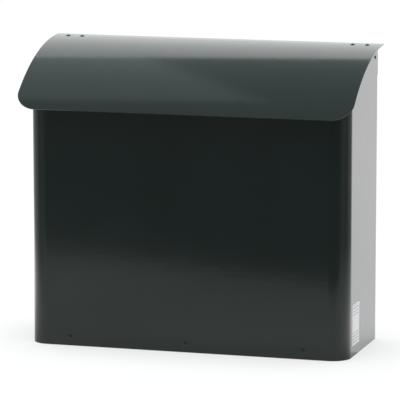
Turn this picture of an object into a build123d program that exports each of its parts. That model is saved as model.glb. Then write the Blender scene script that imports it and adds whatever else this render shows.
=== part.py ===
from build123d import *
import math
import os

# A wall-mounted mailbox in 1 mm steel sheet: a bent front-and-sides wrap, a back panel,
# a floor tray and a curved lid that turns on two pivot rivets at its top rear corners.
#
# Frame: origin at the centre of the four wall-screw holes, on the wall's surface.
# +X is to the right as seen from the front, +Z is up, and the wall is the plane Y = 0.
# Sizes are millimetres.

# ---- driving dimensions -------------------------------------------------------------
SHEET = 1.0                    # thickness of every sheet part
BOTTOM = -165.0                # height of the body's bottom edge
BODY_HALF_WIDTH = 191.0
BODY_FRONT = -146.0            # outer face of the front panel
FRONT_HEIGHT = 296.0           # front panel, bottom edge to hemmed rim
FRONT_CORNER_R = 22.0          # outside radius of the two vertical bends
REAR_BEND_R = 2.2              # outside radius of the bends into the rear flanges
REAR_FLANGE_WIDTH = 16.0       # rear flanges, turned in from each side
REAR_FLANGE_HEIGHT = 312.0

LID_HALF_WIDTH = 200.0
LID_RADIUS = 228.0             # outer radius of the lid's curve
LID_CENTRE_Y = -4.0
LID_CENTRE_Z = BOTTOM + 122.0
LID_REAR = -10.5
LID_FRONT = -169.0
LID_FRONT_CORNER_R = 25.0
LID_REAR_CORNER_R = 3.0
LID_GAP = 0.8                  # lid's underside to the side panels' top edges

PIVOT_Y = -17.3
PIVOT_Z = BOTTOM + 334.5
PIVOT_SHANK_R = 1.5
PIVOT_CLEARANCE = 0.06         # radial running clearance in the lid brackets
PIVOT_HEAD_R = 2.4
PIVOT_HEAD_HEIGHT = 1.0
PIVOT_TAIL_R = 2.8
PIVOT_TAIL_LENGTH = 1.3
PIVOT_TAIL_CHAMFER = 0.5

BRACKET_SHEET = 1.5
BRACKET_INNER_X = 156.0
BRACKET_FRONT = -31.0
BRACKET_REAR = -13.5
BRACKET_EAR_R = 7.5
WASHER_THICKNESS = 1.0
WASHER_R = 5.0
WASHER_CLEARANCE = 0.1         # on each face of a washer, and round the shank

SCREW_SPACING_X = 300.0        # wall-screw holes, centre to centre
SCREW_SPACING_Z = 220.0
SCREW_HOLE_R = 3.25
BOSS_FACE_R = 10.0             # flat seat round each wall-screw hole
BOSS_BASE_R = 14.5

PANEL_HALF_WIDTH = 187.5
PANEL_BOTTOM = BOTTOM + 0.5
PANEL_SHOULDER = BOTTOM + 313.0
PANEL_TONGUE_HALF_WIDTH = 148.0
PANEL_TOP = BOTTOM + 338.0
PANEL_CORNER_R = 5.0

TRAY_DEPTH = 18.0
TRAY_SIDE_GAP = 0.4
TRAY_BEND_R = 1.8
TRAY_REAR_CORNER_R = 8.0
TRAY_NOTCH_BASE = 2.0          # flange height left at the open corners
DRAIN_R = 3.0
DRAIN_X = (-150.0, -50.0, 50.0, 150.0)
DRAIN_INSET = 28.0             # drain holes, in from the tray's front and rear edges

HEM_LENGTH = 11.0              # folded leg of the hemmed rims
HEM_SLOT = 0.5                 # space inside the fold

RIVET_SHANK_R = 1.6
RIVET_HEAD_R = 3.2
RIVET_HEAD_HEIGHT = 1.1
RIVET_TAIL_R = 2.5
RIVET_TAIL_LENGTH = 2.4
MANDREL_R = 0.9
MANDREL_HEAD_R = 1.35
MANDREL_RECESS = 0.9           # broken end of the mandrel, below the head's top

LID_RIVET_X = (165.3, 182.7)
LID_RIVET_Y = -23.0
FLOOR_RIVET_Z = BOTTOM + 10.4
FRONT_RIVET_X = (-140.0, 0.0, 140.0)
FLOOR_REAR_RIVET_X = (-120.0, 0.0, 120.0)
FLANGE_RIVET_X = 181.5
FLANGE_RIVET_Z = (BOTTOM + 40.0, BOTTOM + 160.0, BOTTOM + 290.0)

BUMPER_X = 130.0
BUMPER_LENGTH = 14.0
BUMPER_HEIGHT = 2.6
BUMPER_EDGE_R = 0.8

LABEL_FRONT = -119.0
LABEL_REAR = -86.0
LABEL_BOTTOM = BOTTOM + 12.5
LABEL_HEIGHT = 48.0
LABEL_THICKNESS = 0.15
LABEL_CORNER_R = 2.0

CUTTER_LENGTH = 24.0           # of the cylinders that cut holes through one or two sheets

# ---- derived dimensions -------------------------------------------------------------
lid_inner_radius = LID_RADIUS - SHEET
side_top_radius = lid_inner_radius - LID_GAP
pivot_to_lid_centre = math.hypot(PIVOT_Y - LID_CENTRE_Y, PIVOT_Z - LID_CENTRE_Z)
rear_corner_radius = side_top_radius - pivot_to_lid_centre
body_rear = PIVOT_Y + rear_corner_radius
rim_z = BOTTOM + FRONT_HEIGHT
side_inner_x = BODY_HALF_WIDTH - SHEET
panel_rear = body_rear - SHEET
panel_front = panel_rear - SHEET
tray_rear = panel_front
ear_outer_x = side_inner_x - WASHER_THICKNESS - 2 * WASHER_CLEARANCE
ear_inner_x = ear_outer_x - BRACKET_SHEET
fold_outer_r = SHEET + HEM_SLOT / 2
hem_thickness = 2 * fold_outer_r
above_sides = PIVOT_Z + 20.0


# ---- helpers ------------------------------------------------------------------------
def lid_height(y, radius):
    """Height of a circle of the given radius about the lid's centre line, at depth y."""
    return LID_CENTRE_Z + math.sqrt(radius ** 2 - (y - LID_CENTRE_Y) ** 2)


def lid_point(y, radius):
    return (y, lid_height(y, radius))


def lid_angle(y, radius):
    """Slope angle of the lid's curve at depth y, in degrees."""
    return math.degrees(math.asin((y - LID_CENTRE_Y) / radius))


def extrude_x(face_yz, low_x, high_x):
    """Extrude a face drawn as (y, z) from low_x to high_x."""
    placed = Plane.YZ.offset(low_x) * face_yz
    return extrude(placed, amount=high_x - low_x)


def extrude_up(face_xy, low_z, high_z):
    return extrude(Pos(0, 0, low_z) * face_xy, amount=high_z - low_z)


def block(low, high):
    size = [b - a for a, b in zip(low, high)]
    middle = [(a + b) / 2 for a, b in zip(low, high)]
    return Pos(*middle) * Box(*size)


def hole(point, direction, radius):
    """A long cylinder through the given point, for cutting."""
    return Plane(origin=point, z_dir=direction) * Cylinder(radius, CUTTER_LENGTH)


def mirrored_pair(shape):
    return shape, mirror(shape, about=Plane.YZ)


# ---- body wrap ----------------------------------------------------------------------
def wrap_skin(inset, flange_x):
    """Right half of the wrap's outline in plan, the given depth inside its outer skin."""
    side = BODY_HALF_WIDTH - inset
    front = BODY_FRONT + inset
    rear = body_rear - inset
    corner_r = FRONT_CORNER_R - inset
    bend_r = REAR_BEND_R - inset
    front_arc = CenterArc((side - corner_r, front + corner_r), corner_r, -90, 90)
    rear_arc = CenterArc((side - bend_r, rear - bend_r), bend_r, 0, 90)
    return Curve() + [
        Line((0, front), front_arc @ 0),
        front_arc,
        Line(front_arc @ 1, rear_arc @ 0),
        rear_arc,
        Line(rear_arc @ 1, (flange_x, rear)),
    ]


def flanged_section():
    """Right half of the wrap's section where the rear flanges are, one sheet thick."""
    flange_x = BODY_HALF_WIDTH - REAR_FLANGE_WIDTH
    outer = wrap_skin(0, flange_x)
    inner = wrap_skin(SHEET, flange_x)
    ends = [
        Line((0, BODY_FRONT), (0, BODY_FRONT + SHEET)),
        Line((flange_x, body_rear), (flange_x, body_rear - SHEET)),
    ]
    return make_face(outer.edges() + inner.edges() + ends)


def plain_section():
    """The wrap's section above the rear flanges: front and sides only."""
    depth = body_rear - BODY_FRONT
    width = 2 * BODY_HALF_WIDTH
    outer = Pos(0, body_rear) * RectangleRounded(width, 2 * depth, FRONT_CORNER_R)
    inner = Pos(0, body_rear) * RectangleRounded(
        width - 2 * SHEET, 2 * (depth - SHEET), FRONT_CORNER_R - SHEET
    )
    ahead = Pos(0, body_rear - depth / 2) * Rectangle(width, depth)
    return (outer - inner) & ahead


def side_outline():
    """Side view of the body: lid-shaped top edge, rounded round the pivot at the rear."""
    front = BODY_FRONT - SHEET
    middle_y = (front + PIVOT_Y) / 2
    direction = math.atan2(PIVOT_Z - LID_CENTRE_Z, PIVOT_Y - LID_CENTRE_Y)
    tangent = (
        LID_CENTRE_Y + side_top_radius * math.cos(direction),
        LID_CENTRE_Z + side_top_radius * math.sin(direction),
    )
    middle_angle = direction / 2
    round_middle = (
        PIVOT_Y + rear_corner_radius * math.cos(middle_angle),
        PIVOT_Z + rear_corner_radius * math.sin(middle_angle),
    )
    top = ThreePointArc(
        lid_point(front, side_top_radius), lid_point(middle_y, side_top_radius), tangent
    )
    corner = ThreePointArc(tangent, round_middle, (body_rear, PIVOT_Z))
    rest = Polyline(
        (body_rear, PIVOT_Z), (body_rear, BOTTOM), (front, BOTTOM), lid_point(front, side_top_radius)
    )
    return make_face(top.edges() + corner.edges() + rest.edges())


def hem(front, top, half_width, thickness_sign):
    """A closed hem along X: the fold at the top and the leg that hangs behind the sheet.

    front is the sheet's outer face. thickness_sign is +1 where the leg lies behind the
    sheet (towards +Y) and -1 where it lies ahead of it.
    """
    middle = front + thickness_sign * fold_outer_r
    fold = Pos(middle, top - fold_outer_r) * (Circle(fold_outer_r) - Circle(HEM_SLOT / 2))
    fold = fold & (Pos(middle, top) * Rectangle(4 * fold_outer_r, 2 * fold_outer_r))
    leg_height = HEM_LENGTH - fold_outer_r
    leg_middle = front + thickness_sign * (hem_thickness - SHEET / 2)
    leg = Pos(leg_middle, top - fold_outer_r - leg_height / 2) * Rectangle(SHEET, leg_height)
    return extrude_x(fold + leg, -half_width, half_width)


def make_body_wrap():
    flange_top = BOTTOM + REAR_FLANGE_HEIGHT
    half = extrude_up(flanged_section(), BOTTOM, flange_top)
    lower = half + mirror(half, about=Plane.YZ)
    upper = extrude_up(plain_section(), flange_top, above_sides)
    wrap = lower + upper
    wrap = wrap & extrude_x(side_outline(), -BODY_HALF_WIDTH, BODY_HALF_WIDTH)

    # The rim of the front panel drops below the side panels' curve and is hemmed inwards.
    rim_half_width = BODY_HALF_WIDTH - FRONT_CORNER_R
    wrap -= block(
        (-rim_half_width, BODY_FRONT, rim_z - fold_outer_r),
        (rim_half_width, BODY_FRONT + hem_thickness, above_sides),
    )
    wrap += hem(BODY_FRONT, rim_z, rim_half_width - SHEET, 1)

    for x in FRONT_RIVET_X:
        wrap -= hole((x, BODY_FRONT, FLOOR_RIVET_Z), (0, 1, 0), RIVET_SHANK_R)
    for side in (-1, 1):
        wrap -= hole((side * BODY_HALF_WIDTH, PIVOT_Y, PIVOT_Z), (1, 0, 0), PIVOT_SHANK_R)
        for z in FLANGE_RIVET_Z:
            wrap -= hole((side * FLANGE_RIVET_X, body_rear, z), (0, 1, 0), RIVET_SHANK_R)
    return wrap


# ---- back panel ---------------------------------------------------------------------
def screw_points():
    for side_x in (-1, 1):
        for side_z in (-1, 1):
            yield side_x * SCREW_SPACING_X / 2, side_z * SCREW_SPACING_Z / 2


def boss_cone(inset, shift_y):
    """A cone frustum from the panel's rear face to the wall, narrowed by inset and shifted in Y."""
    base_y = panel_rear + shift_y
    outline = Polyline(
        (0, base_y),
        (BOSS_BASE_R - inset, base_y),
        (BOSS_FACE_R - inset, shift_y),
        (0, shift_y),
        close=True,
    )
    return revolve(make_face(outline), axis=Axis.Y)


def make_back_panel():
    """Flat sheet with a raised seat at each wall-screw hole and a hemmed top edge."""
    low_height = PANEL_SHOULDER - PANEL_BOTTOM
    low = Pos(0, PANEL_BOTTOM + low_height / 2) * RectangleRounded(
        2 * PANEL_HALF_WIDTH, low_height, PANEL_CORNER_R
    )
    tongue_height = PANEL_TOP - fold_outer_r - PANEL_BOTTOM
    tongue = Pos(0, PANEL_BOTTOM + tongue_height / 2) * Rectangle(
        2 * PANEL_TONGUE_HALF_WIDTH, tongue_height
    )
    flat = Plane.XZ.offset(-panel_rear) * (low + tongue)
    panel = extrude(flat, amount=SHEET)
    panel += hem(panel_rear, PANEL_TOP, PANEL_TONGUE_HALF_WIDTH, -1)

    # The seats' sloped walls are one sheet thick, measured square to the slope.
    run = BOSS_BASE_R - BOSS_FACE_R
    rise = -panel_rear
    wall_inset = SHEET * (math.hypot(run, rise) - run) / rise
    for x, z in screw_points():
        panel += Pos(x, 0, z) * boss_cone(0, 0)
        panel -= Pos(x, 0, z) * boss_cone(wall_inset, -SHEET)
        panel -= hole((x, 0, z), (0, 1, 0), SCREW_HOLE_R)
    for x in FLOOR_REAR_RIVET_X:
        panel -= hole((x, panel_rear, FLOOR_RIVET_Z), (0, 1, 0), RIVET_SHANK_R)
    for side in (-1, 1):
        for z in FLANGE_RIVET_Z:
            panel -= hole((side * FLANGE_RIVET_X, body_rear, z), (0, 1, 0), RIVET_SHANK_R)
    return panel


# ---- floor tray ---------------------------------------------------------------------
def make_floor_tray():
    """Flat floor with four upturned flanges, open at the corners, and drain holes."""
    half_x = side_inner_x - TRAY_SIDE_GAP
    front = BODY_FRONT + SHEET
    middle_y = (front + tray_rear) / 2
    length_y = tray_rear - front
    outer = Pos(0, middle_y, BOTTOM + TRAY_DEPTH / 2) * Box(2 * half_x, length_y, TRAY_DEPTH)
    outer = fillet(outer.edges().group_by(Axis.Z)[0], TRAY_BEND_R)
    inner = Pos(0, middle_y, BOTTOM + SHEET + TRAY_DEPTH / 2) * Box(
        2 * (half_x - SHEET), length_y - 2 * SHEET, TRAY_DEPTH
    )
    inner = fillet(inner.edges().group_by(Axis.Z)[0], TRAY_BEND_R - SHEET)
    tray = outer - inner

    # The corners are rounded off, clear of the wrap's bends, and the flanges stop short of them.
    top = BOTTOM + TRAY_DEPTH
    corners = ((front, 1, FRONT_CORNER_R - SHEET), (tray_rear, -1, TRAY_REAR_CORNER_R))
    for side in (-1, 1):
        for edge_y, inward, corner_r in corners:
            square = Pos(side * half_x, edge_y) * Rectangle(2 * corner_r, 2 * corner_r)
            disc = Pos(side * (half_x - corner_r), edge_y + inward * corner_r) * Circle(
                corner_r - TRAY_SIDE_GAP
            )
            tray -= extrude_up(square - disc, BOTTOM, top)
            tray -= extrude_up(square, BOTTOM + TRAY_NOTCH_BASE, top)
    for x in DRAIN_X:
        for y in (front + DRAIN_INSET, tray_rear - DRAIN_INSET):
            tray -= hole((x, y, BOTTOM), (0, 0, 1), DRAIN_R)
    for x in FRONT_RIVET_X:
        tray -= hole((x, BODY_FRONT, FLOOR_RIVET_Z), (0, 1, 0), RIVET_SHANK_R)
    for x in FLOOR_REAR_RIVET_X:
        tray -= hole((x, tray_rear, FLOOR_RIVET_Z), (0, 1, 0), RIVET_SHANK_R)
    return tray


# ---- lid and its brackets -----------------------------------------------------------
def curved_strip(front, rear, outer_radius, inner_radius):
    """Side view of a sheet that follows the lid's curve from front to rear."""
    middle = (front + rear) / 2
    outer = ThreePointArc(
        lid_point(front, outer_radius), lid_point(middle, outer_radius), lid_point(rear, outer_radius)
    )
    scale = inner_radius / outer_radius
    inner_front = LID_CENTRE_Y + (front - LID_CENTRE_Y) * scale
    inner_middle = LID_CENTRE_Y + (middle - LID_CENTRE_Y) * scale
    inner_rear = LID_CENTRE_Y + (rear - LID_CENTRE_Y) * scale
    inner = ThreePointArc(
        lid_point(inner_front, inner_radius),
        lid_point(inner_middle, inner_radius),
        lid_point(inner_rear, inner_radius),
    )
    ends = [Line(outer @ 0, inner @ 0), Line(outer @ 1, inner @ 1)]
    return make_face(outer.edges() + inner.edges() + ends)


def corner_cutter(x, y, radius, inward_y):
    """What rounding a sheet corner removes, along the sheet's normal at the corner."""
    side = 1 if x > 0 else -1
    angle = math.radians(lid_angle(y + inward_y * radius / 3, LID_RADIUS))
    normal = (0, math.sin(angle), math.cos(angle))
    frame = Plane(origin=(x, y, lid_height(y, LID_RADIUS)), x_dir=(1, 0, 0), z_dir=normal)
    square = Rectangle(2 * radius, 2 * radius)
    disc = Pos(-side * radius, inward_y * radius) * Circle(radius)
    return extrude(frame * (square - disc), amount=CUTTER_LENGTH / 2, both=True)


def lid_rivet_places():
    """Planes on the lid's top at its four rivets, with Z along the sheet's normal."""
    angle = math.radians(lid_angle(LID_RIVET_Y, LID_RADIUS))
    normal = (0, math.sin(angle), math.cos(angle))
    height = lid_height(LID_RIVET_Y, LID_RADIUS)
    for side in (-1, 1):
        for x in LID_RIVET_X:
            yield Plane(origin=(side * x, LID_RIVET_Y, height), x_dir=(1, 0, 0), z_dir=normal)


def make_lid():
    strip = curved_strip(LID_FRONT, LID_REAR, LID_RADIUS, lid_inner_radius)
    lid = extrude_x(strip, -LID_HALF_WIDTH, LID_HALF_WIDTH)
    for x in (-LID_HALF_WIDTH, LID_HALF_WIDTH):
        lid -= corner_cutter(x, LID_FRONT, LID_FRONT_CORNER_R, 1)
        lid -= corner_cutter(x, LID_REAR, LID_REAR_CORNER_R, -1)
    for place in lid_rivet_places():
        lid -= place * Cylinder(RIVET_SHANK_R, CUTTER_LENGTH)
    return lid


def make_right_bracket():
    """Flange riveted under the lid, with an ear that turns on the pivot rivet."""
    flange_inner_r = lid_inner_radius - BRACKET_SHEET
    strip = curved_strip(BRACKET_FRONT, BRACKET_REAR, lid_inner_radius, flange_inner_r)
    flange = extrude_x(strip, BRACKET_INNER_X, ear_outer_x)
    top = lid_height(BRACKET_FRONT, flange_inner_r) + 1
    web = make_face(
        Polyline(
            (PIVOT_Y - BRACKET_EAR_R, PIVOT_Z),
            (PIVOT_Y + BRACKET_EAR_R, PIVOT_Z),
            (BRACKET_REAR, top),
            (BRACKET_FRONT, top),
            close=True,
        )
    )
    ear_face = web + Pos(PIVOT_Y, PIVOT_Z) * Circle(BRACKET_EAR_R)
    bracket = flange + extrude_x(ear_face, ear_inner_x, ear_outer_x)
    for place in lid_rivet_places():
        bracket -= place * Cylinder(RIVET_SHANK_R, CUTTER_LENGTH)
    running_r = PIVOT_SHANK_R + PIVOT_CLEARANCE
    return bracket - hole((ear_inner_x, PIVOT_Y, PIVOT_Z), (1, 0, 0), running_r)


# ---- pivots -------------------------------------------------------------------------
def make_right_pivot_rivet():
    """Domed head outside the side panel, shank through it, and a closed tail inside."""
    dome_r = (PIVOT_HEAD_R ** 2 + PIVOT_HEAD_HEIGHT ** 2) / (2 * PIVOT_HEAD_HEIGHT)
    half_angle = math.asin(PIVOT_HEAD_R / dome_r) / 2
    dome_middle = (
        dome_r * math.sin(half_angle),
        PIVOT_HEAD_HEIGHT - dome_r * (1 - math.cos(half_angle)),
    )
    tail_top = ear_inner_x - WASHER_CLEARANCE - BODY_HALF_WIDTH
    tail_end = tail_top - PIVOT_TAIL_LENGTH
    dome = ThreePointArc((PIVOT_HEAD_R, 0), dome_middle, (0, PIVOT_HEAD_HEIGHT))
    rest = Polyline(
        (0, PIVOT_HEAD_HEIGHT),
        (0, tail_end),
        (PIVOT_TAIL_R - PIVOT_TAIL_CHAMFER, tail_end),
        (PIVOT_TAIL_R, tail_end + PIVOT_TAIL_CHAMFER),
        (PIVOT_TAIL_R, tail_top),
        (PIVOT_SHANK_R, tail_top),
        (PIVOT_SHANK_R, 0),
        (PIVOT_HEAD_R, 0),
    )
    turned = revolve(Plane.XZ * make_face(dome.edges() + rest.edges()), axis=Axis.Z)
    outward = Plane(origin=(BODY_HALF_WIDTH, PIVOT_Y, PIVOT_Z), z_dir=(1, 0, 0))
    return outward * turned


def make_right_pivot_washer():
    middle_x = side_inner_x - WASHER_CLEARANCE - WASHER_THICKNESS / 2
    bore_r = PIVOT_SHANK_R + WASHER_CLEARANCE
    ring = Cylinder(WASHER_R, WASHER_THICKNESS) - Cylinder(bore_r, WASHER_THICKNESS)
    return Plane(origin=(middle_x, PIVOT_Y, PIVOT_Z), z_dir=(1, 0, 0)) * ring


# ---- blind rivets -------------------------------------------------------------------
def blind_rivet(grip):
    """Rivet body, head on +Z with its underside at Z = 0, and sheets of depth grip below."""
    dome_r = (RIVET_HEAD_R ** 2 + RIVET_HEAD_HEIGHT ** 2) / (2 * RIVET_HEAD_HEIGHT)
    rim_z_local = RIVET_HEAD_HEIGHT - dome_r + math.sqrt(dome_r ** 2 - MANDREL_R ** 2)
    middle_r = (RIVET_HEAD_R + MANDREL_R) / 2
    middle_z = RIVET_HEAD_HEIGHT - dome_r + math.sqrt(dome_r ** 2 - middle_r ** 2)
    tail_middle = -grip - RIVET_TAIL_LENGTH / 2
    tail_end = -grip - RIVET_TAIL_LENGTH
    dome = ThreePointArc((RIVET_HEAD_R, 0), (middle_r, middle_z), (MANDREL_R, rim_z_local))
    bulge = ThreePointArc((RIVET_SHANK_R, tail_end), (RIVET_TAIL_R, tail_middle), (RIVET_SHANK_R, -grip))
    bore = Polyline((MANDREL_R, rim_z_local), (MANDREL_R, tail_end), (RIVET_SHANK_R, tail_end))
    shank = Polyline((RIVET_SHANK_R, -grip), (RIVET_SHANK_R, 0), (RIVET_HEAD_R, 0))
    section = make_face(dome.edges() + bore.edges() + bulge.edges() + shank.edges())
    return revolve(Plane.XZ * section, axis=Axis.Z)


def mandrel(grip):
    """The pulled stem that stays in a set rivet, with its bulb against the tail."""
    tail_end = -grip - RIVET_TAIL_LENGTH
    top = RIVET_HEAD_HEIGHT - MANDREL_RECESS
    stem = Pos(0, 0, (top + tail_end) / 2) * Cylinder(MANDREL_R, top - tail_end)
    bulb = Pos(0, 0, tail_end - MANDREL_HEAD_R / 2) * Cylinder(MANDREL_HEAD_R, MANDREL_HEAD_R)
    bulb = fillet(bulb.edges().group_by(Axis.Z)[0], MANDREL_HEAD_R / 2)
    return stem + bulb


def set_rivets(places, grip):
    """Rivet bodies and mandrels at each place, as two groups of separate solids."""
    bodies = []
    stems = []
    for place in places:
        bodies.append(place * blind_rivet(grip))
        stems.append(place * mandrel(grip))
    return Compound(children=bodies), Compound(children=stems)


def facing(y, direction, points_xz):
    """Planes at the given X, Z points on the plane of depth y, with Z along direction."""
    return [Plane(origin=(x, y, z), x_dir=(1, 0, 0), z_dir=direction) for x, z in points_xz]


# ---- label and bumpers --------------------------------------------------------------
def make_side_label():
    middle = ((LABEL_FRONT + LABEL_REAR) / 2, LABEL_BOTTOM + LABEL_HEIGHT / 2)
    outline = Pos(*middle) * RectangleRounded(LABEL_REAR - LABEL_FRONT, LABEL_HEIGHT, LABEL_CORNER_R)
    return extrude_x(outline, BODY_HALF_WIDTH, BODY_HALF_WIDTH + LABEL_THICKNESS)


def make_right_bumper():
    """A small soft pad on the front rim, just under the closed lid."""
    middle_y = BODY_FRONT + fold_outer_r
    base_z = rim_z - fold_outer_r
    height = BUMPER_HEIGHT + fold_outer_r
    pad = Pos(BUMPER_X, middle_y, base_z + height / 2) * Box(BUMPER_LENGTH, hem_thickness, height)
    pad = fillet(pad.edges().group_by(Axis.Z)[-1], BUMPER_EDGE_R)
    return pad - hole((BUMPER_X, middle_y, base_z), (1, 0, 0), fold_outer_r)


# ---- write every node ---------------------------------------------------------------
def build_nodes():
    lid_bodies, lid_stems = set_rivets(lid_rivet_places(), SHEET + BRACKET_SHEET)
    front_places = facing(BODY_FRONT, (0, -1, 0), [(x, FLOOR_RIVET_Z) for x in FRONT_RIVET_X])
    front_bodies, front_stems = set_rivets(front_places, 2 * SHEET)
    flange_points = [(side * FLANGE_RIVET_X, z) for side in (-1, 1) for z in FLANGE_RIVET_Z]
    flange_bodies, flange_stems = set_rivets(facing(body_rear, (0, 1, 0), flange_points), 2 * SHEET)
    floor_places = facing(panel_rear, (0, 1, 0), [(x, FLOOR_RIVET_Z) for x in FLOOR_REAR_RIVET_X])
    floor_bodies, floor_stems = set_rivets(floor_places, 2 * SHEET)

    right_bracket, left_bracket = mirrored_pair(make_right_bracket())
    right_rivet, left_rivet = mirrored_pair(make_right_pivot_rivet())
    right_washer, left_washer = mirrored_pair(make_right_pivot_washer())
    right_bumper, left_bumper = mirrored_pair(make_right_bumper())

    return {
        "body_wrap": make_body_wrap(),
        "back_panel": make_back_panel(),
        "floor_tray": make_floor_tray(),
        "lid": make_lid(),
        "left_lid_bracket": left_bracket,
        "right_lid_bracket": right_bracket,
        "lid_rivets": lid_bodies,
        "lid_rivet_mandrels": lid_stems,
        "left_pivot_rivet": left_rivet,
        "right_pivot_rivet": right_rivet,
        "left_pivot_washer": left_washer,
        "right_pivot_washer": right_washer,
        "front_rivets": front_bodies,
        "front_rivet_mandrels": front_stems,
        "back_flange_rivets": flange_bodies,
        "back_flange_rivet_mandrels": flange_stems,
        "floor_rear_rivets": floor_bodies,
        "floor_rear_rivet_mandrels": floor_stems,
        "side_label": make_side_label(),
        "left_lid_bumper": left_bumper,
        "right_lid_bumper": right_bumper,
    }


os.makedirs("parts", exist_ok=True)
for node, shape in build_nodes().items():
    export_step(shape, f"parts/{node}.step")
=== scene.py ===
import math

import bpy
from mathutils import Matrix, Vector


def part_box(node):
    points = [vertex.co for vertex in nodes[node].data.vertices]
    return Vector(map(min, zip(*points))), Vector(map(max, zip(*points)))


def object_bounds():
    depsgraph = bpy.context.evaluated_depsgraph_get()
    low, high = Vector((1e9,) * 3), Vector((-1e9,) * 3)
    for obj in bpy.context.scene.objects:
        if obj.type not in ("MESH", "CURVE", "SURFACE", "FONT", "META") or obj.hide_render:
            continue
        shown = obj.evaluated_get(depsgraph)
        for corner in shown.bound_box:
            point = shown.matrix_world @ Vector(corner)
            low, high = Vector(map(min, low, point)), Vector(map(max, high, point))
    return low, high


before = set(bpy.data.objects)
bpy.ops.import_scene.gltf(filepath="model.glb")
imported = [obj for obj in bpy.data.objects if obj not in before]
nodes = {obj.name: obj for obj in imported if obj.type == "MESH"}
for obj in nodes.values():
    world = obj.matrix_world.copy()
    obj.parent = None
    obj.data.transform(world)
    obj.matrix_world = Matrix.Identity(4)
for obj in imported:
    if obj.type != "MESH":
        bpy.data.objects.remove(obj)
cad_low, cad_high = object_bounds()

# ---- studio: metres and radians, in the frame's axes ----------------------------------
CAMERA_AT = (1.0371, -3.5438, 0.5768)
CAMERA_YAW = 0.2915            # turned from +Y towards -X
CAMERA_PITCH = -0.1574         # below the horizon
CAMERA_LENS = 282.78           # mm
SENSOR_WIDTH = 36.0            # mm
CLIP_NEAR, CLIP_FAR = 0.05, 60.0

# "Right" and "away" are the camera's own, measured level from the frame's origin.
VIEW_AWAY = Vector((-math.sin(CAMERA_YAW), math.cos(CAMERA_YAW), 0))
VIEW_RIGHT = Vector((math.cos(CAMERA_YAW), math.sin(CAMERA_YAW), 0))
UP = Vector((0, 0, 1))

TABLE_NEAR, TABLE_FAR = -0.607, 7.0
TABLE_HALF_WIDTH = 6.0
TABLE_DROP = 0.0003            # below the object's lowest point
FOOT_RIGHT = 0.16              # the object's front right foot
FOOT_AWAY = -0.14

# The table's glow in the gloss, as (place, level): GLOW_BY_AWAY by the distance away,
# LEFT_FADE by the distance right, RIGHT_FADE and FOOT_GLOW by the bearing round the front
# right foot, where 0 is straight beyond it and positive is to its right.
GLOW_BY_AWAY = [(-0.6, 0.64), (-0.2, 0.69), (-0.02, 1.13), (0.12, 1.5), (1.2, 1.62)]
LEFT_FADE = [(-2.2, 0.32), (-0.85, 0.6), (-0.6, 1.2), (-0.4, 1.33), (-0.24, 1.0)]
RIGHT_FADE = [(-3.2, 1.0), (0.68, 1.0), (0.86, 0.25), (2.0, 0.42), (2.7, 0.9), (3.2, 1.0)]
FOOT_GLOW = [
    (-3.2, 0.78), (-1.57, 0.85), (0.0, 1.45), (0.53, 1.56), (1.4, 1.4), (2.3, 1.1), (3.2, 0.78),
]
FOOT_INNER, FOOT_OUTER = 0.2, 0.75    # FOOT_GLOW is whole inside the first, gone by the second
CONTACT_REACH = 0.12                  # how far from the object the table is shaded
TABLE_TINT = (1.0, 0.99, 1.005)
TABLE_BASE = (0.1, 0.1, 0.1, 1)

# The world's light, as (place, level): SKY_LOW, below the horizon, by the cosine from
# VIEW_AWAY; SKY_HIGH, above it, by the height of the ray's direction.
SKY_LOW = [(-1.0, 0.20), (-0.86, 0.21), (-0.5, 0.46), (1.0, 0.5)]
SKY_HIGH = [(0.0, 0.2), (0.25, 0.3), (0.6, 0.62), (0.8, 0.70), (0.92, 0.76), (1.0, 0.76)]
HORIZON_BLEND = 0.03
OVERHEAD_TINT = (0.88, 1.03, 1.02)
BACKDROP = (0.92, 0.925, 0.925)

# One soft wall stands beyond the object, and soft boxes hang over its left.
WALL_RIGHT, WALL_AWAY, WALL_UP = -0.05, 0.90, 0.87
WALL_WIDTH, WALL_HEIGHT = 1.5, 0.84
WALL_RADIANCE = 1.0
WALL_ROLL = math.radians(20)

CEILING_LEFT_END, CEILING_FAR_END = -1.2, 1.0
CEILING_UP = 1.5
CEILING_RADIANCE = 0.33               # of each of the stacked boxes
CEILING_STEPS = ((-0.38, 0.33), (-0.32, 0.14), (-0.26, -0.05))    # (right end, near end)


def staged(right, away, up):
    """A point right of and beyond the frame's origin, and above the object's lowest point."""
    return VIEW_RIGHT * right + VIEW_AWAY * away + UP * (cad_low.z + up)


def make_camera():
    data = bpy.data.cameras.new("camera")
    data.lens = CAMERA_LENS
    data.sensor_width = SENSOR_WIDTH
    data.clip_start = CLIP_NEAR
    data.clip_end = CLIP_FAR
    camera = bpy.data.objects.new("camera", data)
    camera.location = CAMERA_AT
    camera.rotation_euler = (math.pi / 2 + CAMERA_PITCH, 0, CAMERA_YAW)
    bpy.context.scene.collection.objects.link(camera)
    bpy.context.scene.camera = camera


# ---- node helpers -------------------------------------------------------------------
MIX_FACTOR, MIX_FIRST, MIX_SECOND = 0, 6, 7    # a Mix node's sockets when it mixes colours
MIX_RESULT = 2


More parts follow.
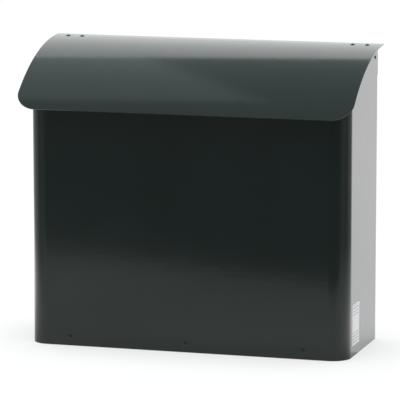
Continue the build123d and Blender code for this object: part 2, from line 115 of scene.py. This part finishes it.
class Tree:
    """A node tree with short calls for the nodes that the materials share."""

    def __init__(self, tree):
        self.tree = tree

    def add(self, kind, links=None, values=None, **settings):
        node = self.tree.nodes.new("ShaderNode" + kind)
        for name, value in settings.items():
            setattr(node, name, value)
        for name, value in (values or {}).items():
            node.inputs[name].default_value = value
        for name, source in (links or {}).items():
            self.tree.links.new(source, node.inputs[name])
        return node

    def fill(self, socket, value):
        """Give a socket a number, a colour or another node's output."""
        if isinstance(value, (int, float)):
            socket.default_value = value
        elif isinstance(value, tuple):
            socket.default_value = (*value, 1)
        else:
            self.tree.links.new(value, socket)

    def math(self, operation, first, second=0.0):
        node = self.add("Math", operation=operation)
        for socket, value in zip(node.inputs, (first, second)):
            self.fill(socket, value)
        return node.outputs[0]

    def times(self, first, second):
        return self.math("MULTIPLY", first, second)

    def spread(self, value, low, high, to_low=0.0, to_high=1.0):
        """Map value's range low..high onto to_low..to_high, held at the ends."""
        values = {"From Min": low, "From Max": high, "To Min": to_low, "To Max": to_high}
        return self.add("MapRange", links={"Value": value}, values=values).outputs["Result"]

    def profile(self, value, stops):
        """A grey level read from (value, level) stops, straight between them."""
        low, high = stops[0][0], stops[-1][0]
        ramp = self.add("ValToRGB", links={"Fac": self.spread(value, low, high)})
        elements = ramp.color_ramp.elements
        while len(elements) < len(stops):
            elements.new(0.5)
        for element, (at, level) in zip(elements, stops):
            element.position = (at - low) / (high - low)
            element.color = (level, level, level, 1)
        return ramp.outputs["Color"]

    def noise(self, where, scale, detail, roughness=0.5):
        values = {"Scale": scale, "Detail": detail, "Roughness": roughness}
        return self.add("TexNoise", links={"Vector": where}, values=values).outputs["Fac"]

    def mix(self, factor, first, second, blend="MIX"):
        """A colour part way from first to second, which are colours or sockets."""
        node = self.add("Mix", data_type="RGBA", blend_type=blend)
        self.fill(node.inputs[MIX_FACTOR], factor)
        self.fill(node.inputs[MIX_FIRST], first)
        self.fill(node.inputs[MIX_SECOND], second)
        return node.outputs[MIX_RESULT]

    def split(self, vector):
        return self.add("SeparateXYZ", links={"Vector": vector}).outputs

    def bump(self, height, distance, normal=None):
        links = {"Height": height}
        if normal is not None:
            links["Normal"] = normal
        return self.add("Bump", links=links, values={"Distance": distance}).outputs["Normal"]

    def by_camera_ray(self, otherwise, seen):
        """One colour for what the camera sees directly, another for light and reflections."""
        return self.mix(self.add("LightPath").outputs["Is Camera Ray"], otherwise, seen)


def new_material(name):
    """A material with a bare Principled shader: its Tree, the shader and object coordinates."""
    material = bpy.data.materials.new(name)
    material.use_nodes = True
    tree = Tree(material.node_tree)
    shader = material.node_tree.nodes["Principled BSDF"]
    where = tree.add("TexCoord").outputs["Object"]
    return material, tree, shader, where


# ---- table, world and lights --------------------------------------------------------
def make_table():
    """A plain pale table. The object's gloss sees it glow: bright beyond, dim to the sides."""
    material, tree, shader, where = new_material("table_pale")
    position = tree.split(where)
    right, away = position["X"], position["Y"]
    aside = tree.math("SUBTRACT", right, FOOT_RIGHT)
    beyond = tree.math("SUBTRACT", away, FOOT_AWAY)
    bearing = tree.math("ARCTAN2", aside, beyond)
    squares = tree.math("ADD", tree.times(aside, aside), tree.times(beyond, beyond))
    distance = tree.math("SQRT", squares)

    fades = tree.times(tree.profile(right, LEFT_FADE), tree.profile(bearing, RIGHT_FADE))
    glow = tree.times(tree.profile(away, GLOW_BY_AWAY), fades)
    close = tree.spread(distance, FOOT_INNER, FOOT_OUTER, 1.0, 0.0)
    glow = tree.mix(close, glow, tree.profile(bearing, FOOT_GLOW))
    # Painted contact shadow: ambient occlusion darkens the glow, and the pale table the camera
    # sees, near the object.
    contact = tree.add("AmbientOcclusion", samples=8, values={"Distance": CONTACT_REACH})
    openness = contact.outputs["AO"]
    glow = tree.times(glow, tree.spread(openness, 0.0, 1.0, 0.5, 1.0))
    glow = tree.mix(1.0, glow, TABLE_TINT, "MULTIPLY")
    plain = tree.spread(openness, 0.2, 0.95, 0.66, 0.95)
    tree.fill(shader.inputs["Emission Color"], tree.by_camera_ray(glow, plain))
    shader.inputs["Emission Strength"].default_value = 1.0
    shader.inputs["Base Color"].default_value = TABLE_BASE
    shader.inputs["Roughness"].default_value = 0.9
    shader.inputs["Specular IOR Level"].default_value = 0.0

    mesh = bpy.data.meshes.new("table")
    near, far, half = TABLE_NEAR, TABLE_FAR, TABLE_HALF_WIDTH
    corners = [(-half, near, 0), (half, near, 0), (half, far, 0), (-half, far, 0)]
    mesh.from_pydata(corners, [], [(0, 1, 2, 3)])
    mesh.materials.append(material)
    table = bpy.data.objects.new("table", mesh)
    table.location = (0, 0, cad_low.z - TABLE_DROP)
    table.rotation_euler = (0, 0, CAMERA_YAW)
    bpy.context.scene.collection.objects.link(table)


def make_world():
    """A plain pale backdrop. Its light is pale overhead, dim low down and towards the camera."""
    world = bpy.data.worlds.new("studio")
    world.use_nodes = True
    world.node_tree.nodes.clear()
    tree = Tree(world.node_tree)
    where = tree.add("TexCoord").outputs["Generated"]
    height = tree.split(where)["Z"]
    away = tree.add("VectorMath", operation="DOT_PRODUCT", links={0: where}, values={1: VIEW_AWAY})
    low = tree.profile(away.outputs["Value"], SKY_LOW)
    high = tree.mix(1.0, tree.profile(height, SKY_HIGH), OVERHEAD_TINT, "MULTIPLY")
    level = tree.mix(tree.spread(height, -HORIZON_BLEND, HORIZON_BLEND), low, high)
    glow = tree.add("Background", links={"Color": tree.by_camera_ray(level, BACKDROP)})
    tree.add("OutputWorld", links={"Surface": glow.outputs[0]})
    bpy.context.scene.world = world


def softbox(name, centre, target, width, height, radiance, roll, tint=(1.0, 1.0, 1.0)):
    """A rectangular light of even radiance, facing target. The camera doesn't see it."""
    data = bpy.data.lights.new(name, "AREA")
    data.shape = "RECTANGLE"
    data.size = width
    data.size_y = height
    data.energy = 4 * radiance * width * height    # watts, for an even radiance over the box
    data.color = tint
    light = bpy.data.objects.new(name, data)
    facing = (target - centre).normalized()
    turn = facing.to_track_quat("-Z", "Y").to_matrix().to_4x4()
    light.matrix_world = Matrix.Translation(centre) @ turn @ Matrix.Rotation(roll, 4, "Z")
    light.visible_camera = False
    bpy.context.scene.collection.objects.link(light)


def make_lights():
    wall, wall_faces = staged(WALL_RIGHT, WALL_AWAY, WALL_UP), staged(WALL_RIGHT, 0, WALL_UP)
    softbox("back_wall", wall, wall_faces, WALL_WIDTH, WALL_HEIGHT, WALL_RADIANCE, WALL_ROLL)
    # Three stacked boxes step the overhead light down towards the right and towards the camera.
    for right_end, near_end in CEILING_STEPS:
        middle_right = (right_end + CEILING_LEFT_END) / 2
        middle_away = (near_end + CEILING_FAR_END) / 2
        centre = staged(middle_right, middle_away, CEILING_UP)
        width, depth = right_end - CEILING_LEFT_END, CEILING_FAR_END - near_end
        below = centre - UP
        softbox(
            "ceiling_left", centre, below, width, depth, CEILING_RADIANCE, CAMERA_YAW, OVERHEAD_TINT
        )


# ---- materials ----------------------------------------------------------------------
COAT_DARK = (0.0046, 0.0125, 0.0103)
COAT_LIGHT = (0.0076, 0.0165, 0.0143)
COAT_IOR = 1.48
# Edge colour: bare metal where the coat is rubbed, and partly a painted edge highlight.
BARE_AND_HIGHLIT_EDGE = (0.060, 0.066, 0.064)
EDGE_RADIUS = 0.0009           # how far in from an edge the coat is rubbed and given a painted highlight
EDGE_WEAR_AND_HIGHLIGHT = 0.75
DUST = (0.115, 0.110, 0.098)
DUST_COVER = 0.035
RIPPLE_DEPTH = 0.000034        # orange peel: the broad waves and the fine skin over them
SKIN_DEPTH = 0.000022

STEEL = ((0.10, 0.10, 0.098), (0.035, 0.032, 0.03))        # each pair: light, then dark
NYLON = ((0.70, 0.69, 0.64), (0.60, 0.59, 0.54))
RUBBER = ((0.020, 0.020, 0.021), (0.012, 0.012, 0.012))

PAPER_DARK, PAPER_LIGHT = (0.79, 0.77, 0.77), (0.88, 0.86, 0.86)
GRIME = (0.45, 0.44, 0.41)
GRIME_COVER = 0.12
INK = (0.16, 0.17, 0.18)
INK_COVER = 0.85
LABEL_MARGIN = 0.0024
RULED_LINE = 0.0008
UPPER_PITCH, LOWER_PITCH = 0.0038, 0.0033      # of the ruled lines in the label's two blocks
UPPER_START, LOWER_START = 0.35, -0.38         # from the label's middle, in half heights


def powder_coat(name, roughness=0.12, peel=1.0, wear_and_highlight=1.0):
    """Dark green-black powder coat: orange peel, drifting shade, light dust, and rubbed edges
    lightened partly as a painted highlight.
    """
    material, tree, shader, where = new_material(name)
    shade = tree.noise(where, scale=9.0, detail=3.0)
    grain = tree.noise(where, scale=2600.0, detail=1.0)
    speck = tree.noise(where, scale=480.0, detail=4.0, roughness=0.65)
    colour = tree.mix(tree.spread(shade, 0.32, 0.68), COAT_DARK, COAT_LIGHT)
    colour = tree.mix(tree.spread(grain, 0.45, 0.8, 0.0, 0.5), colour, COAT_LIGHT)

    # Edges, where a rounded copy of the normal leaves the true one: rubbed unevenly, and a painted
    # highlight.
    normal = tree.add("NewGeometry").outputs["Normal"]
    rounded = tree.add("Bevel", samples=6, values={"Radius": EDGE_RADIUS}).outputs["Normal"]
    facing = tree.add("VectorMath", operation="DOT_PRODUCT", links={0: normal, 1: rounded})
    edge = tree.spread(facing.outputs["Value"], 0.985, 0.86)
    patchy = tree.spread(tree.noise(where, scale=70.0, detail=5.0, roughness=0.7), 0.50, 0.68)
    rubbed_and_highlit = tree.times(edge, tree.times(patchy, EDGE_WEAR_AND_HIGHLIGHT * wear_and_highlight))
    # Lighter edges: partly wear, partly a painted highlight.
    colour = tree.mix(rubbed_and_highlit, colour, BARE_AND_HIGHLIT_EDGE)

    # Dust settles on what faces up, in faint drifts and specks.
    settled = tree.spread(tree.split(normal)["Z"], 0.55, 1.0, 0.0, DUST_COVER)
    specks = tree.spread(speck, 0.62, 0.76, 0.0, 0.9)
    drift = tree.spread(tree.noise(where, scale=24.0, detail=4.0, roughness=0.6), 0.4, 0.75)
    dusty = tree.times(tree.math("ADD", settled, tree.times(specks, settled)), drift)
    tree.fill(shader.inputs["Base Color"], tree.mix(dusty, colour, DUST))

    smears = tree.noise(where, scale=32.0, detail=5.0, roughness=0.62)
    smears = tree.spread(smears, 0.35, 0.7, roughness * 0.9, roughness * 1.18)
    fine = tree.spread(speck, 0.3, 0.7, -0.012, 0.018)
    rough = tree.math("ADD", tree.math("ADD", smears, fine), tree.times(rubbed_and_highlit, 0.3))
    tree.fill(shader.inputs["Roughness"], rough)

    ripple = tree.noise(where, scale=210.0, detail=2.0, roughness=0.45)
    skin = tree.noise(where, scale=900.0, detail=2.0, roughness=0.5)
    bumped = tree.bump(ripple, RIPPLE_DEPTH * peel)
    bumped = tree.bump(skin, SKIN_DEPTH * peel, bumped)
    tree.fill(shader.inputs["Normal"], bumped)
    shader.inputs["IOR"].default_value = COAT_IOR
    return material


def bare_metal(name, light, dark, roughness, grain_scale):
    """Dull bare metal with a torn or drawn grain and darker stains."""
    material, tree, shader, where = new_material(name)
    stain = tree.spread(tree.noise(where, scale=900.0, detail=4.0, roughness=0.6), 0.38, 0.66)
    grain = tree.noise(where, scale=grain_scale, detail=3.0, roughness=0.6)
    rough = tree.spread(grain, 0.3, 0.7, roughness * 0.8, roughness * 1.25)
    tree.fill(shader.inputs["Base Color"], tree.mix(stain, light, dark))
    tree.fill(shader.inputs["Roughness"], rough)
    tree.fill(shader.inputs["Normal"], tree.bump(grain, 0.00006))
    shader.inputs["Metallic"].default_value = 1.0
    return material


def moulded(name, light, dark, roughness, grain_scale, depth):
    """Moulded plastic or rubber: fine grain, mottled shade and a dull sheen."""
    material, tree, shader, where = new_material(name)
    mottle = tree.spread(tree.noise(where, scale=160.0, detail=4.0, roughness=0.6), 0.35, 0.65)
    grain = tree.noise(where, scale=grain_scale, detail=3.0, roughness=0.55)
    rough = tree.spread(grain, 0.3, 0.7, roughness * 0.88, roughness * 1.1)
    tree.fill(shader.inputs["Base Color"], tree.mix(mottle, light, dark))
    tree.fill(shader.inputs["Roughness"], rough)
    tree.fill(shader.inputs["Normal"], tree.bump(grain, depth))
    return material


def ruled_label(name):
    """Satin paper film: a thin border and two blocks of ruled lines, with nothing written."""
    low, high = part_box("side_label")
    middle_y = (low[1] + high[1]) / 2
    middle_z = (low[2] + high[2]) / 2
    half_width = (high[1] - low[1]) / 2
    half_height = (high[2] - low[2]) / 2

    material, tree, shader, where = new_material(name)
    position = tree.split(where)
    across = tree.math("ABSOLUTE", tree.math("SUBTRACT", position["Y"], middle_y))
    rise = tree.math("SUBTRACT", position["Z"], middle_z)
    from_side = tree.math("SUBTRACT", half_width - LABEL_MARGIN, across)
    from_end = tree.math("SUBTRACT", half_height - LABEL_MARGIN, tree.math("ABSOLUTE", rise))
    inside = tree.math("MINIMUM", from_side, from_end)
    printed = tree.math("LESS_THAN", tree.math("ABSOLUTE", inside), RULED_LINE / 4)
    for side, start, pitch in (
        ("GREATER_THAN", UPPER_START, UPPER_PITCH),
        ("LESS_THAN", LOWER_START, LOWER_PITCH),
    ):
        step = tree.math("PINGPONG", rise, pitch / 2)
        ruled = tree.math("LESS_THAN", step, RULED_LINE / 2)
        in_block = tree.math(side, rise, half_height * start)
        within = tree.times(in_block, tree.math("GREATER_THAN", inside, LABEL_MARGIN / 2))
        printed = tree.math("MAXIMUM", printed, tree.times(ruled, within))

    fibre = tree.noise(where, scale=1500.0, detail=4.0, roughness=0.6)
    paper = tree.mix(tree.spread(fibre, 0.3, 0.7), PAPER_DARK, PAPER_LIGHT)
    smudge = tree.noise(where, scale=90.0, detail=4.0, roughness=0.6)
    paper = tree.mix(tree.spread(smudge, 0.5, 0.8, 0.0, GRIME_COVER), paper, GRIME)
    tree.fill(shader.inputs["Base Color"], tree.mix(tree.times(printed, INK_COVER), paper, INK))
    tree.fill(shader.inputs["Roughness"], tree.spread(fibre, 0.3, 0.7, 0.42, 0.55))
    tree.fill(shader.inputs["Normal"], tree.bump(fibre, 0.00002))
    return material


def dress():
    coat = powder_coat("powder_coat")
    # Rivet heads: stronger edge lightening, partly wear and partly a painted highlight round the
    # rim.
    rivet_coat = powder_coat("rivet_coat", roughness=0.2, peel=2.0, wear_and_highlight=1.3)
    torn_steel = bare_metal("torn_steel", *STEEL, roughness=0.45, grain_scale=3500.0)
    nylon = moulded("nylon", *NYLON, roughness=0.42, grain_scale=1800.0, depth=0.00003)
    rubber = moulded("bumper_rubber", *RUBBER, roughness=0.78, grain_scale=2200.0, depth=0.00008)
    label = ruled_label("label_film")
    for name, obj in nodes.items():
        if "mandrel" in name:
            finish = torn_steel
        elif "washer" in name:
            finish = nylon
        elif "bumper" in name:
            finish = rubber
        elif "label" in name:
            finish = label
        elif "rivet" in name:
            finish = rivet_coat
        else:
            finish = coat
        obj.data.materials.clear()
        obj.data.materials.append(finish)


make_camera()
make_table()
make_world()
make_lights()
dress()
bpy.context.scene.view_settings.view_transform = "Standard"
